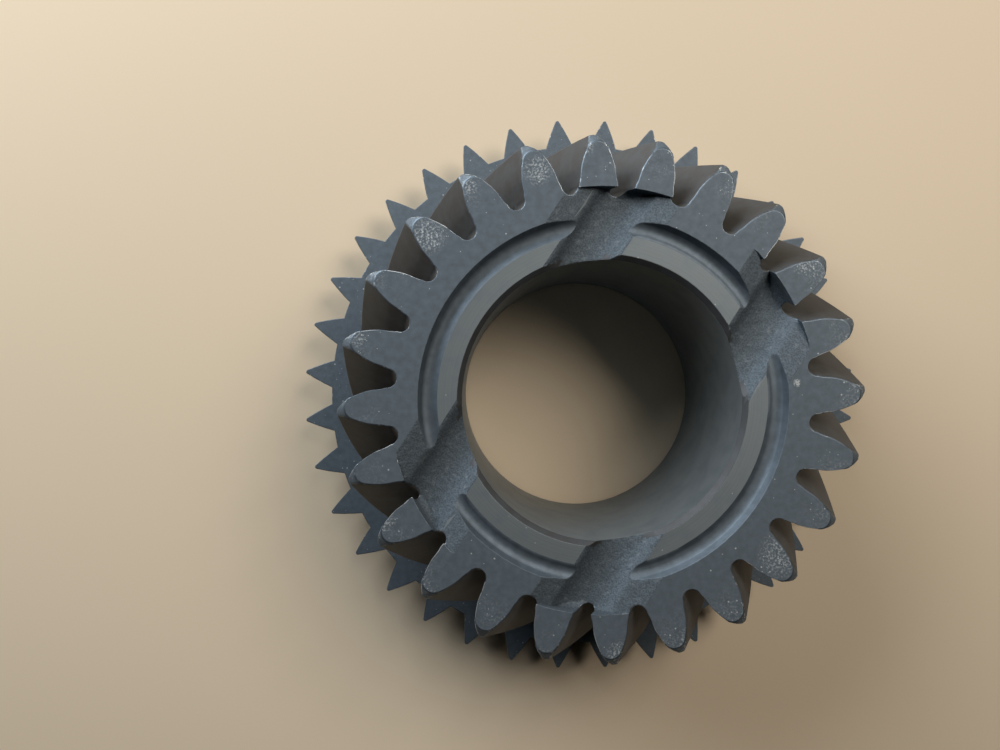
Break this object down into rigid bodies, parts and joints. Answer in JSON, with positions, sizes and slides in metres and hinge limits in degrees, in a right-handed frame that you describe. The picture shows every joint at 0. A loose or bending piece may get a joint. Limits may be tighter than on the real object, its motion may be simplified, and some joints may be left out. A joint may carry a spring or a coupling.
{
  "type": "helical speed gear with clutch teeth",
  "caption": "Left-hand helical transmission gear with a through bore, recessed thrust ring, forged oil troughs and a larger ring of pointed clutch teeth above a short synchronizer cone.",
  "frame": {"origin": "on the bore axis, in the plane of the hub end face on the cone side", "axes": "+Z along the bore axis from the cone side to the helical teeth; +X through the centre of one helical tooth in the upper face"},
  "size_m": [0.1414, 0.1414, 0.048],
  "materials": {
    "phosphated_steel": "matt manganese phosphate on forged and machined steel"
  },
  "bodies": {
    "root": {"gear": "phosphated_steel"}
  },
  "joints": []
}
